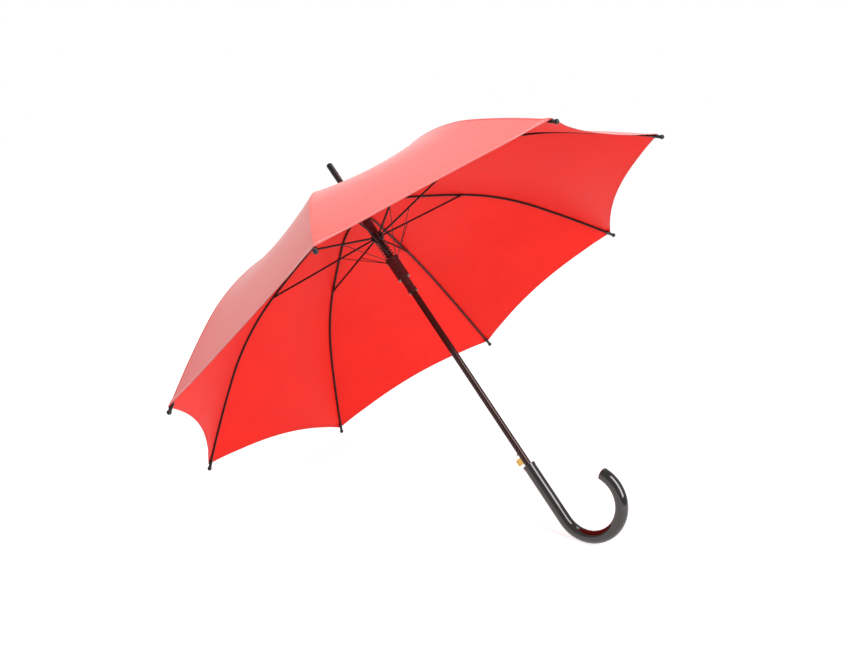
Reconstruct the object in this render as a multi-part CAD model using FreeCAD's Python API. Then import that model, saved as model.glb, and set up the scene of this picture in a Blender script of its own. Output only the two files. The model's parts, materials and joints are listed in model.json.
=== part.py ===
"""Automatic-opening stick umbrella, open, lying on the floor on two rib tips and its crook handle.

Every piece is built standing up in the umbrella's own frame: z runs up the shaft to the
ferrule, z = 0 is level with the open canopy's hem corners, and x points to the side that the
crook bends to. The last step lays the whole umbrella down on the floor.
"""
import FreeCAD, Part
import math
import os
from FreeCAD import Vector

# ---------------------------------------------------------------- driving dimensions, mm
RIB_COUNT = 8

# linkage, in the plane of one rib: pivots at the crown, the hub and the knee between them
PIVOT_OUT = 3.9
CROWN_HEIGHT = 235.0
HUB_DROP = 58.0
LINK_LENGTH = 223.0
CLOSED_ANGLE = 87.4

# rib, a fluted steel strip bent to the canopy's curve
RIB_WIDTH = 3.0
RIB_DEPTH = 2.6
FLUTE_WIDTH = 1.6
FLUTE_DEPTH = 1.8
FLUTE_START = 6.0
FLUTE_STOP = 3.0
RIB_ROOT_SLOPE = 14.0
KNEE_SLOPE = -17.0
TIP_SLOPE = -44.5
TIP_RADIUS = 509.0
TIP_HEIGHT = 11.0
KNEE_PIN_RADIUS = 0.7
KNEE_CLEAR = 7.0
TONGUE_HALF = 0.5
FORK_INNER = 0.75
FORK_LENGTH = 11.0
FORK_WALL = 0.7
EYE_RADIUS = 0.6

# link wires from the stretchers to the runner
WIRE_RADIUS = 0.7
WIRE_LENGTH = 94.0
WIRE_REACH = 70.4
WIRE_GAP = 0.4
FLANGE_PIVOT_OUT = 4.9

# shaft and ferrule
SHAFT_RADIUS = 6.1
SHAFT_WALL = 0.8
FERRULE_INSET = 0.3
FERRULE_LENGTH = 85.0
FERRULE_CAP_PROUD = 0.2
FERRULE_CAP_LENGTH = 27.0
FERRULE_CAP_ROUND = 3.0
SPIGOT_RADIUS = 4.5
SPIGOT_LENGTH = 15.0
PLUG_LENGTH = 24.0

# crown
NOTCH_RIM = 3.0
NOTCH_THICKNESS = 10.0
NOTCH_ABOVE_PIVOT = 4.0
NOTCH_SLOT = 2.2
NOTCH_RELIEF = 6.0
STOP_SLEEVE_WALL = 2.2
CROWN_CAP_RIM = 2.0
CROWN_CAP_THICKNESS = 1.6
CROWN_COLLAR_WALL = 2.4
CROWN_COLLAR_HEIGHT = 6.0

# hub, spring and runner
HUB_RIM = 2.6
HUB_THICKNESS = 9.6
HUB_BELOW_PIVOT = 5.4
HUB_SLOT = 2.0
HUB_WIRE_SLOT = 0.4
HUB_NECK_WALL = 1.5
HUB_NECK_LENGTH = 5.0
SPRING_WIRE_RADIUS = 0.8
SPRING_GAP = 0.4
SPRING_TURNS = 6.5
FLANGE_RIM = 2.2
FLANGE_THICKNESS = 6.4
HOUSING_WALL = 5.4
HOUSING_LENGTH = 39.0
TUBE_WALL = 1.5
TUBE_LENGTH = 24.0
END_RING_WALL = 2.4
END_RING_LENGTH = 8.0

# catch and trigger at the lower end of the shaft
NOSE_HEIGHT = 2.7
NOSE_LENGTH = 3.4
NOSE_FLAT = 1.2
CATCH_LENGTH = 18.0
CATCH_SLOPE = 5.0
LATCH_LIP = 3.6
LATCH_PLAY = 0.6
WINDOW_PLAY = 1.2
LEAF_THICKNESS = 1.0
LEAF_WIDTH = 4.0
LEAF_REACH = 70.0
LEAF_BEHIND = 1.9
SLOT_PLAY = 1.0
TRIGGER_PLAY = 1.2
TRIGGER_PROJECTION = 10.8
TRIGGER_LENGTH = 12.0
TRIGGER_ROUND = 3.0

# crook handle
HANDLE_WALL = 4.9
HANDLE_GAP = 6.4
HANDLE_STRAIGHT = 112.0
CROOK_RADIUS = 57.7
CROOK_SWEEP = 206.0
SHAFT_IN_HANDLE = 90.0
HANDLE_RIM = 0.7
HANDLE_RIM_LENGTH = 5.0
DOME_LENGTH = 4.0
DOME_ROUND = 3.6

# canopy and tip caps
FABRIC = 0.5
HEM_PULL = 27.0
GORE_SAG = 11.0
FULL_SAG_RADIUS = 300.0
SAG_POWER = 1.5
SAG_INWARD = 0.6
CANOPY_HOLE_GAP = 1.1
CANOPY_RISE = 3.6
CROWN_FLAT = 38.0
CROWN_RUN = 45.0
GORE_ROWS = 19
GORE_COLUMNS = 9
CAP_SOCKET = 10.0
CAP_STEM_RADIUS = 3.0
CAP_BALL_RADIUS = 4.1
CAP_BALL_OUT = 6.0

# clearances
MOVING_GAP = 0.3
CANOPY_GAP = 0.95
PIN_GAP = 0.05
FIXED_GAP = 0.05
THROUGH = 1.0

# ---------------------------------------------------------------- worked-out places
PITCH = 360.0 / RIB_COUNT
PIVOT_RADIUS = SHAFT_RADIUS + PIVOT_OUT
FLANGE_PIVOT_RADIUS = SHAFT_RADIUS + FLANGE_PIVOT_OUT
HUB_RADIUS = PIVOT_RADIUS + HUB_RIM
NOTCH_RADIUS = PIVOT_RADIUS + NOTCH_RIM
CROWN_CAP_RADIUS = NOTCH_RADIUS + CROWN_CAP_RIM
FLANGE_RADIUS = FLANGE_PIVOT_RADIUS + FLANGE_RIM
HANDLE_RADIUS = SHAFT_RADIUS + HANDLE_WALL
CANOPY_HOLE = SHAFT_RADIUS + CANOPY_HOLE_GAP
HUB_HEIGHT = CROWN_HEIGHT - HUB_DROP
OPEN_ANGLE = math.degrees(math.asin(HUB_DROP / 2.0 / LINK_LENGTH))
KNEE_RADIUS = PIVOT_RADIUS + LINK_LENGTH * math.cos(math.radians(OPEN_ANGLE))
KNEE_HEIGHT = CROWN_HEIGHT - HUB_DROP / 2.0
HALF_WIDTH = RIB_WIDTH / 2.0
HALF_DEPTH = RIB_DEPTH / 2.0
KNEE_HOLE = KNEE_PIN_RADIUS + PIN_GAP
WIRE_SIDE = HALF_WIDTH + WIRE_RADIUS + WIRE_GAP
SHAFT_INNER = SHAFT_RADIUS - SHAFT_WALL
FIXED_BORE = SHAFT_RADIUS + FIXED_GAP
RUNNING_BORE = SHAFT_RADIUS + MOVING_GAP
HOUSING_RADIUS = RUNNING_BORE + HOUSING_WALL
FERRULE_RADIUS = SHAFT_RADIUS - FERRULE_INSET
FERRULE_BORE = FERRULE_RADIUS + FIXED_GAP
CANOPY_LIFT = HALF_DEPTH + CANOPY_GAP
NOTCH_TOP = CROWN_HEIGHT + NOTCH_ABOVE_PIVOT
CANOPY_TOP = NOTCH_TOP + CANOPY_RISE
CROWN_CAP_BASE = CANOPY_TOP + FABRIC + MOVING_GAP
SHAFT_TOP = CROWN_CAP_BASE
HUB_BOTTOM = HUB_HEIGHT - HUB_BELOW_PIVOT
HUB_NECK_RADIUS = RUNNING_BORE + HUB_NECK_WALL
SPRING_RADIUS = HUB_NECK_RADIUS + SPRING_GAP + SPRING_WIRE_RADIUS
LEAF_INSET = SHAFT_RADIUS - LEAF_BEHIND


def heading(angle):
    """Unit vector at a slope in the rib plane."""
    return Vector(math.cos(math.radians(angle)), 0, math.sin(math.radians(angle)))


def wire_fall(spread):
    """How far a link wire drops while it closes the given radial distance."""
    return math.sqrt(WIRE_LENGTH ** 2 - spread ** 2)


def wire_top(angle, hub_height):
    """Radius and height of the wire's pivot on its stretcher."""
    a = math.radians(angle)
    return PIVOT_RADIUS + WIRE_REACH * math.cos(a), hub_height + WIRE_REACH * math.sin(a)


WIRE_TOP_RADIUS, WIRE_TOP_HEIGHT = wire_top(OPEN_ANGLE, HUB_HEIGHT)
FLANGE_PIVOT_HEIGHT = WIRE_TOP_HEIGHT - wire_fall(WIRE_TOP_RADIUS - FLANGE_PIVOT_RADIUS)
FLANGE_TOP = FLANGE_PIVOT_HEIGHT + FLANGE_THICKNESS / 2.0
FLANGE_BOTTOM = FLANGE_TOP - FLANGE_THICKNESS
HOUSING_BOTTOM = FLANGE_BOTTOM - HOUSING_LENGTH
RUNNER_BOTTOM = HOUSING_BOTTOM - TUBE_LENGTH - END_RING_LENGTH

# the folded umbrella: how far the hub and the runner travel
HUB_CLOSED = CROWN_HEIGHT - 2.0 * LINK_LENGTH * math.sin(math.radians(CLOSED_ANGLE))
WIRE_CLOSED_RADIUS, WIRE_CLOSED_HEIGHT = wire_top(CLOSED_ANGLE, HUB_CLOSED)
FLANGE_CLOSED = WIRE_CLOSED_HEIGHT - wire_fall(WIRE_CLOSED_RADIUS - FLANGE_PIVOT_RADIUS)
RUNNER_TRAVEL = FLANGE_PIVOT_HEIGHT - FLANGE_CLOSED

# the catch sits where the closed runner's end ring comes to rest, the trigger just below it
RUNNER_CLOSED = RUNNER_BOTTOM - RUNNER_TRAVEL
NOSE_BOTTOM = RUNNER_CLOSED + LATCH_LIP + LATCH_PLAY
CATCH_TOP = NOSE_BOTTOM + CATCH_LENGTH
TRIGGER_TOP = RUNNER_CLOSED - TRIGGER_PLAY
TRIGGER_BOTTOM = TRIGGER_TOP - TRIGGER_LENGTH
LEAF_PIVOT_HEIGHT = NOSE_BOTTOM + LEAF_REACH
LEAF_PIVOT_X = -LEAF_INSET + LEAF_THICKNESS / 2.0
HANDLE_TOP = TRIGGER_BOTTOM - HANDLE_GAP
CROOK_HEIGHT = HANDLE_TOP - HANDLE_STRAIGHT
SHAFT_BOTTOM = HANDLE_TOP - SHAFT_IN_HANDLE


# ---------------------------------------------------------------- curves in the rib plane
class Track:
    """A chain of tangent arcs in the xz plane, each (start x, start z, start slope, length, bend)."""

    def __init__(self, arcs):
        self.arcs = arcs
        self.length = sum(arc[3] for arc in arcs)

    def place(self, s):
        """Point and slope (radians) at arc length s."""
        for index, (x, z, slope, length, bend) in enumerate(self.arcs):
            if s <= length or index == len(self.arcs) - 1:
                break
            s -= length
        if abs(bend) < 1e-9:
            return x + s * math.cos(slope), z + s * math.sin(slope), slope
        end = slope + bend * s
        return (x + (math.sin(end) - math.sin(slope)) / bend,
                z - (math.cos(end) - math.cos(slope)) / bend, end)

    def point(self, s, lift=0.0):
        """Point at arc length s, lifted off the curve along its upper normal."""
        x, z, slope = self.place(s)
        return Vector(x - lift * math.sin(slope), 0, z + lift * math.cos(slope))

    def edges(self, start, end, lift):
        """Line or arc edges of the lifted curve between two arc lengths."""
        joints = [0.0]
        for arc in self.arcs:
            joints.append(joints[-1] + arc[3])
        stops = [start] + [s for s in joints if start + 1e-6 < s < end - 1e-6] + [end]
        made = []
        for a, b in zip(stops, stops[1:]):
            first, middle, last = (self.point(s, lift) for s in (a, (a + b) / 2.0, b))
            if (middle - (first + last) * 0.5).Length < 1e-7:
                made.append(Part.makeLine(first, last))
            else:
                made.append(Part.Arc(first, middle, last).toShape())
        return made


def straight(start, end):
    """A straight track between two points given as (x, z)."""
    dx, dz = end[0] - start[0], end[1] - start[1]
    return Track([(start[0], start[1], math.atan2(dz, dx), math.hypot(dx, dz), 0.0)])


def biarc(start, start_slope, end, end_slope):
    """Two tangent arcs that join two points at the given slopes."""
    p, q = Vector(start[0], 0, start[1]), Vector(end[0], 0, end[1])
    t, u = heading(start_slope), heading(end_slope)
    gap, both = q - p, t + u
    k = 2.0 * (1.0 - t.dot(u))
    d = (-gap.dot(both) + math.sqrt(gap.dot(both) ** 2 + k * gap.dot(gap))) / k
    middle = (p + t * d + q - u * d) * 0.5
    arcs = []
    slope = math.radians(start_slope)
    for a, b in ((p, middle), (middle, q)):
        chord = b - a
        swing = math.atan2(chord.z, chord.x) - slope
        bend = 2.0 * math.sin(swing) / chord.Length
        arcs.append((a.x, a.z, slope, 2.0 * swing / bend, bend))
        slope += 2.0 * swing
    return Track(arcs)


INNER_RIB = biarc((PIVOT_RADIUS, CROWN_HEIGHT), RIB_ROOT_SLOPE, (KNEE_RADIUS, KNEE_HEIGHT), KNEE_SLOPE)
OUTER_RIB = biarc((KNEE_RADIUS, KNEE_HEIGHT), KNEE_SLOPE, (TIP_RADIUS, TIP_HEIGHT), TIP_SLOPE)
STRETCHER = straight((PIVOT_RADIUS, HUB_HEIGHT), (KNEE_RADIUS, KNEE_HEIGHT))
RIB_LENGTH = INNER_RIB.length + OUTER_RIB.length


# ---------------------------------------------------------------- solids
def bar(track, start, end, low, high, left, right):
    """A strip that follows a track: its heights off the curve are low..high, its sides left..right."""
    top = track.edges(start, end, high)
    bottom = track.edges(start, end, low)
    ends = [Part.makeLine(track.point(s, low), track.point(s, high)) for s in (start, end)]
    outline = Part.Wire(Part.__sortEdges__(top + bottom + ends))
    strip = Part.Face(outline).extrude(Vector(0, right - left, 0))
    strip.translate(Vector(0, left, 0))
    return strip


def cross_pin(x, z, radius, left, right):
    """A round pin across the rib plane."""
    return Part.makeCylinder(radius, right - left, Vector(x, left, z), Vector(0, 1, 0))


def ring(radius, bore, bottom, top):
    """A round collar on the shaft's axis."""
    outer = Part.makeCylinder(radius, top - bottom, Vector(0, 0, bottom))
    return outer.cut(Part.makeCylinder(bore, top - bottom + 2 * THROUGH, Vector(0, 0, bottom - THROUGH)))


def radial_slot(inner, left, right, bottom, top):
    """A slot that opens outwards through any collar, in the plane of one rib."""
    return Part.makeBox(3.0 * HUB_RADIUS, right - left, top - bottom, Vector(inner, left, bottom))


def spin(shape, angle):
    """A copy turned about the shaft."""
    copy = shape.copy()
    copy.rotate(Vector(0, 0, 0), Vector(0, 0, 1), angle)
    return copy


def azimuth(number):
    """Direction of rib 1, 2, ... about the shaft: the crook's plane lies midway between two ribs."""
    return PITCH * (number - 0.5)


def slotted(body, cutter):
    """Cut one slot per rib."""
    for number in range(1, RIB_COUNT + 1):
        body = body.cut(spin(cutter, azimuth(number)))
    return body


def flute(track, start, end):
    """The groove along the underside of a rib or stretcher."""
    return bar(track, start, end, -HALF_DEPTH - THROUGH, -HALF_DEPTH + FLUTE_DEPTH,
               -FLUTE_WIDTH / 2.0, FLUTE_WIDTH / 2.0)


def drilled(body, x, z, radius):
    """The body with a round hole across the rib plane."""
    return body.cut(cross_pin(x, z, radius, -2.0 * RIB_WIDTH, 2.0 * RIB_WIDTH))


def rib_inner():
    """Rib from the crown to the knee: an eye for the crown's tie wire, and a thin tongue at the knee."""
    end = INNER_RIB.length
    body = bar(INNER_RIB, 0, end - KNEE_CLEAR, -HALF_DEPTH, HALF_DEPTH, -HALF_WIDTH, HALF_WIDTH)
    body = body.fuse(cross_pin(PIVOT_RADIUS, CROWN_HEIGHT, HALF_DEPTH, -HALF_WIDTH, HALF_WIDTH))
    tongue = bar(INNER_RIB, end - KNEE_CLEAR - THROUGH, end,
                 -HALF_DEPTH, HALF_DEPTH, -TONGUE_HALF, TONGUE_HALF)
    tongue = tongue.fuse(cross_pin(KNEE_RADIUS, KNEE_HEIGHT, HALF_DEPTH, -TONGUE_HALF, TONGUE_HALF))
    body = body.cut(flute(INNER_RIB, FLUTE_START, end - KNEE_CLEAR - FLUTE_STOP)).fuse(tongue)
    body = drilled(body, PIVOT_RADIUS, CROWN_HEIGHT, EYE_RADIUS)
    return drilled(body, KNEE_RADIUS, KNEE_HEIGHT, KNEE_HOLE).removeSplitter()


def rib_outer():
    """Rib from the knee to the tip: a fork over the inner rib's tongue, and a plain end in the tip cap."""
    end = OUTER_RIB.length
    body = bar(OUTER_RIB, KNEE_CLEAR, end, -HALF_DEPTH, HALF_DEPTH, -HALF_WIDTH, HALF_WIDTH)
    body = body.cut(flute(OUTER_RIB, KNEE_CLEAR + FLUTE_STOP, end - CAP_SOCKET - FLUTE_STOP))
    for left, right in ((-HALF_WIDTH, -FORK_INNER), (FORK_INNER, HALF_WIDTH)):
        cheek = bar(OUTER_RIB, 0, KNEE_CLEAR + THROUGH, -HALF_DEPTH, HALF_DEPTH, left, right)
        body = body.fuse(cheek.fuse(cross_pin(KNEE_RADIUS, KNEE_HEIGHT, HALF_DEPTH, left, right)))
    return drilled(body, KNEE_RADIUS, KNEE_HEIGHT, KNEE_HOLE).removeSplitter()


def stretcher():
    """Fluted strut from the hub to the knee, with a fork and rivet at the knee and a hole for its wire."""
    end = STRETCHER.length
    fork = end - FORK_LENGTH
    body = bar(STRETCHER, 0, fork + THROUGH, -HALF_DEPTH, HALF_DEPTH, -HALF_WIDTH, HALF_WIDTH)
    body = body.fuse(cross_pin(PIVOT_RADIUS, HUB_HEIGHT, HALF_DEPTH, -HALF_WIDTH, HALF_WIDTH))
    inner = HALF_WIDTH + MOVING_GAP
    outer = inner + FORK_WALL
    bridge = RIB_WIDTH
    body = body.cut(flute(STRETCHER, FLUTE_START, fork - bridge - FLUTE_STOP))
    body = body.fuse(bar(STRETCHER, fork + THROUGH - bridge, fork + THROUGH,
                         -HALF_DEPTH, HALF_DEPTH, -outer, outer))
    for left, right in ((-outer, -inner), (inner, outer)):
        cheek = bar(STRETCHER, fork, end, -HALF_DEPTH, HALF_DEPTH, left, right)
        body = body.fuse(cheek.fuse(cross_pin(KNEE_RADIUS, KNEE_HEIGHT, HALF_DEPTH, left, right)))
    body = body.fuse(cross_pin(KNEE_RADIUS, KNEE_HEIGHT, KNEE_PIN_RADIUS, -outer, outer))
    body = drilled(body, PIVOT_RADIUS, HUB_HEIGHT, EYE_RADIUS)
    hole = cross_pin(WIRE_TOP_RADIUS, WIRE_TOP_HEIGHT, WIRE_RADIUS + PIN_GAP, -FLUTE_WIDTH / 2.0, RIB_WIDTH)
    return body.cut(hole).removeSplitter()


def link_wire():
    """Round wire beside the stretcher: its bent end turns in the stretcher, its foot in the flange."""
    top = Vector(WIRE_TOP_RADIUS, WIRE_SIDE, WIRE_TOP_HEIGHT)
    foot = Vector(FLANGE_PIVOT_RADIUS, WIRE_SIDE, FLANGE_PIVOT_HEIGHT)
    rod = Part.makeCylinder(WIRE_RADIUS, (foot - top).Length, top, foot - top)
    pin = cross_pin(WIRE_TOP_RADIUS, WIRE_TOP_HEIGHT, WIRE_RADIUS, 0.0, WIRE_SIDE)
    return rod.multiFuse([pin, Part.makeSphere(WIRE_RADIUS, top), Part.makeSphere(WIRE_RADIUS, foot)])


def tip_cap():
    """Round-nosed cap on the end of a rib, with the socket that the rib's end sits in."""
    total = CAP_SOCKET + CAP_BALL_OUT
    neck = math.sqrt(CAP_BALL_RADIUS ** 2 - CAP_STEM_RADIUS ** 2)
    stem = Part.makeCylinder(CAP_STEM_RADIUS, total - neck + MOVING_GAP)
    body = stem.fuse(Part.makeSphere(CAP_BALL_RADIUS, Vector(0, 0, total)))
    end = OUTER_RIB.length
    slope = math.degrees(OUTER_RIB.place(end)[2])
    body.rotate(Vector(0, 0, 0), Vector(0, 1, 0), 90.0 - slope)
    body.translate(OUTER_RIB.point(end) - heading(slope) * CAP_SOCKET)
    wide, deep = HALF_WIDTH + FIXED_GAP, HALF_DEPTH + FIXED_GAP
    socket = bar(OUTER_RIB, end - CAP_SOCKET - THROUGH, end + FIXED_GAP, -deep, deep, -wide, wide)
    return body.cut(socket)


def seam_point(s, lift):
    """Where the fabric crosses a rib, at arc length s from the crown pivot."""
    if s <= INNER_RIB.length:
        return INNER_RIB.point(s, lift)
    return OUTER_RIB.point(s - INNER_RIB.length, lift)


def gore_point(s, across, lift):
    """Point of the fabric between two ribs: across runs from -1 at one rib to 1 at the next."""
    hollow = 1.0 - across * across
    hem = RIB_LENGTH - CAP_SOCKET - MOVING_GAP
    run = s * (hem - HEM_PULL * hollow) / hem
    blend = min(1.0, max(0.0, (run - CANOPY_HOLE) / CROWN_RUN))
    seam = seam_point(run, CANOPY_LIFT + lift)
    crown = Vector(CANOPY_HOLE + run / CROWN_RUN * CROWN_FLAT, 0, CANOPY_TOP + lift)
    rise = blend * blend * (3.0 - 2.0 * blend)
    seam = crown * (1.0 - rise) + seam * rise
    sag = GORE_SAG * math.sin(math.pi / 2.0 * min(1.0, seam.x / FULL_SAG_RADIUS)) ** SAG_POWER
    half = math.radians(PITCH / 2.0)
    radial = seam.x * math.cos(half)
    return Vector(radial - SAG_INWARD * sag * hollow * seam.x / TIP_RADIUS,
                  across * (seam.x * math.sin(half) - MOVING_GAP / 2.0), seam.z - sag * hollow)


def gore():
    """One sewn panel of the canopy, as a thin closed sheet between two rib lines."""
    hem = RIB_LENGTH - CAP_SOCKET - MOVING_GAP
    faces = []
    for lift in (0.0, FABRIC):
        grid = [[gore_point(hem * i / (GORE_ROWS - 1.0), 2.0 * j / (GORE_COLUMNS - 1.0) - 1.0, lift)
                 for j in range(GORE_COLUMNS)] for i in range(GORE_ROWS)]
        surface = Part.BSplineSurface()
        surface.interpolate(grid)
        faces.append(surface.toShape())
    sides = [Part.makeRuledSurface(a, b) for a, b in zip(faces[0].Edges, faces[1].Edges)]
    shell = Part.makeShell(faces + sides)
    shell.sewShape()
    solid = Part.makeSolid(shell)
    if solid.Volume < 0:
        solid.reverse()
    return solid


def shaft_tube():
    """Steel tube with the long slot that the catch and trigger come through."""
    tube = ring(SHAFT_RADIUS, SHAFT_INNER, SHAFT_BOTTOM, SHAFT_TOP)
    half = LEAF_WIDTH / 2.0 + MOVING_GAP
    low, high = TRIGGER_BOTTOM - SLOT_PLAY, CATCH_TOP + SLOT_PLAY
    reach = 2.0 * SHAFT_RADIUS
    return tube.cut(Part.makeBox(reach, 2 * half, high - low, Vector(-reach, -half, low)))


def ferrule():
    """Metal point: a plug inside the shaft, the visible sleeve, and a spigot for the end cap."""
    top = SHAFT_TOP + FERRULE_LENGTH
    body = Part.makeCylinder(FERRULE_RADIUS, FERRULE_LENGTH, Vector(0, 0, SHAFT_TOP))
    plug = Part.makeCylinder(SHAFT_INNER - FIXED_GAP, PLUG_LENGTH, Vector(0, 0, SHAFT_TOP - PLUG_LENGTH))
    spigot = Part.makeCylinder(SPIGOT_RADIUS, SPIGOT_LENGTH, Vector(0, 0, top))
    return body.multiFuse([plug, spigot])


def ferrule_cap():
    """Black cap on the end of the ferrule, with a rounded nose."""
    base = SHAFT_TOP + FERRULE_LENGTH
    radius = FERRULE_RADIUS + FERRULE_CAP_PROUD
    body = Part.makeCylinder(radius, FERRULE_CAP_LENGTH, Vector(0, 0, base))
    nose = [e for e in body.Edges if abs(e.BoundBox.ZMin - base - FERRULE_CAP_LENGTH) < 1e-3
            and abs(e.BoundBox.ZMax - base - FERRULE_CAP_LENGTH) < 1e-3]
    body = body.makeFillet(FERRULE_CAP_ROUND, nose)
    bore = SPIGOT_RADIUS + FIXED_GAP
    return body.cut(Part.makeCylinder(bore, SPIGOT_LENGTH + MOVING_GAP, Vector(0, 0, base)))


def crown_notch():
    """Slotted ring that the ribs turn in, moulded with the sleeve that stops the hub."""
    bottom = NOTCH_TOP - NOTCH_THICKNESS
    head = ring(NOTCH_RADIUS, FIXED_BORE, bottom, NOTCH_TOP)
    half = HALF_WIDTH + MOVING_GAP
    inner = PIVOT_RADIUS - NOTCH_SLOT
    head = slotted(head, radial_slot(inner, -half, half, bottom - THROUGH, NOTCH_TOP + THROUGH))
    foot = HUB_BOTTOM + HUB_THICKNESS + MOVING_GAP
    sleeve = ring(FIXED_BORE + STOP_SLEEVE_WALL, FIXED_BORE, foot, bottom)
    clear = slotted(sleeve, radial_slot(inner, -half, half, bottom - NOTCH_RELIEF, bottom + THROUGH))
    return head.fuse(clear).removeSplitter()


def crown_cap():
    """Disc and collar that clamp the canopy's centre under the ferrule."""
    disc = ring(CROWN_CAP_RADIUS, FERRULE_BORE, CROWN_CAP_BASE, CROWN_CAP_BASE + CROWN_CAP_THICKNESS)
    collar = ring(FERRULE_BORE + CROWN_COLLAR_WALL, FERRULE_BORE, CROWN_CAP_BASE,
                  CROWN_CAP_BASE + CROWN_COLLAR_HEIGHT)
    return disc.fuse(collar).removeSplitter()


def stretcher_hub():
    """Slotted upper ring of the runner, which carries the stretchers and slides on the shaft."""
    top = HUB_BOTTOM + HUB_THICKNESS
    low, high = HUB_BOTTOM - THROUGH, top + THROUGH
    head = ring(HUB_RADIUS, RUNNING_BORE, HUB_BOTTOM, top)
    half = HALF_WIDTH + MOVING_GAP
    head = slotted(head, radial_slot(PIVOT_RADIUS - HUB_SLOT, -half, half, low, high))
    wire_edge = WIRE_SIDE + WIRE_RADIUS + MOVING_GAP
    head = slotted(head, radial_slot(PIVOT_RADIUS - HUB_WIRE_SLOT, 0, wire_edge, low, high))
    neck = ring(HUB_NECK_RADIUS, RUNNING_BORE, HUB_BOTTOM - HUB_NECK_LENGTH, HUB_BOTTOM)
    return head.fuse(neck).removeSplitter()


def opening_spring():
    """Coil spring between the hub and the runner's flange."""
    low = FLANGE_TOP + SPRING_WIRE_RADIUS + FIXED_GAP
    high = HUB_BOTTOM - SPRING_WIRE_RADIUS - FIXED_GAP
    pitch = (high - low) / SPRING_TURNS
    helix = Part.makeHelix(pitch, high - low, SPRING_RADIUS)
    start = helix.Edges[0].valueAt(helix.Edges[0].FirstParameter)
    along = helix.Edges[0].tangentAt(helix.Edges[0].FirstParameter)
    section = Part.Wire(Part.makeCircle(SPRING_WIRE_RADIUS, start, along))
    coil = Part.Wire(helix.Edges).makePipeShell([section], True, True)
    coil.translate(Vector(0, 0, low))
    return coil


def runner_housing():
    """Upper barrel of the runner, with the slotted flange that the link wires turn in."""
    flange = ring(FLANGE_RADIUS, RUNNING_BORE, FLANGE_BOTTOM, FLANGE_TOP)
    left, right = WIRE_SIDE - WIRE_RADIUS - MOVING_GAP, WIRE_SIDE + WIRE_RADIUS + MOVING_GAP
    floor = FLANGE_PIVOT_HEIGHT - WIRE_RADIUS - MOVING_GAP
    inner = FLANGE_PIVOT_RADIUS - WIRE_RADIUS - MOVING_GAP
    flange = slotted(flange, radial_slot(inner, left, right, floor, FLANGE_TOP + THROUGH))
    return flange.fuse(ring(HOUSING_RADIUS, RUNNING_BORE, HOUSING_BOTTOM, FLANGE_BOTTOM)).removeSplitter()


def runner_tube():
    """Lower tube and end ring of the runner, with the window that the catch's nose springs into."""
    body = ring(RUNNING_BORE + TUBE_WALL, RUNNING_BORE, RUNNER_BOTTOM, HOUSING_BOTTOM)
    end_ring = ring(RUNNING_BORE + END_RING_WALL, RUNNING_BORE,
                    RUNNER_BOTTOM, RUNNER_BOTTOM + END_RING_LENGTH)
    body = body.fuse(end_ring)
    low = RUNNER_BOTTOM + LATCH_LIP
    high = low + CATCH_LENGTH + WINDOW_PLAY
    half = LEAF_WIDTH / 2.0 + MOVING_GAP
    reach = 2.0 * SHAFT_RADIUS
    window = Part.makeBox(reach, 2 * half, high - low, Vector(-reach, -half, low))
    return body.cut(window).removeSplitter()


def runner_catch():
    """Spring leaf inside the shaft, turning on its rolled top end; its nose holds the runner."""
    half = LEAF_WIDTH / 2.0
    back = -LEAF_INSET + LEAF_THICKNESS
    leaf = Part.makeBox(LEAF_THICKNESS, LEAF_WIDTH, LEAF_PIVOT_HEIGHT - TRIGGER_BOTTOM,
                        Vector(-LEAF_INSET, -half, TRIGGER_BOTTOM))
    eye = cross_pin(LEAF_PIVOT_X, LEAF_PIVOT_HEIGHT, LEAF_THICKNESS, -half, half)
    proud = -SHAFT_RADIUS - NOSE_HEIGHT
    flush = -math.sqrt(SHAFT_RADIUS ** 2 - half ** 2) + FIXED_GAP
    corners = [Vector(back, -half, NOSE_BOTTOM), Vector(proud, -half, NOSE_BOTTOM),
               Vector(proud, -half, NOSE_BOTTOM + NOSE_FLAT), Vector(flush, -half, NOSE_BOTTOM + NOSE_LENGTH),
               Vector(flush, -half, CATCH_TOP - CATCH_SLOPE), Vector(-LEAF_INSET, -half, CATCH_TOP),
               Vector(back, -half, CATCH_TOP)]
    nose = Part.Face(Part.makePolygon(corners + corners[:1])).extrude(Vector(0, LEAF_WIDTH, 0))
    return leaf.multiFuse([eye, nose]).removeSplitter()


def trigger_button():
    """Brass thumb piece that stands out of the shaft's slot."""
    half = LEAF_WIDTH / 2.0
    face = -SHAFT_RADIUS - TRIGGER_PROJECTION
    body = Part.makeBox(-LEAF_INSET - face, LEAF_WIDTH, TRIGGER_LENGTH, Vector(face, -half, TRIGGER_BOTTOM))
    corners = [e for e in body.Edges
               if abs(e.BoundBox.XMax - face) < 1e-3 and e.BoundBox.ZLength < 1e-3]
    return body.makeFillet(TRIGGER_ROUND, corners)


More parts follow.
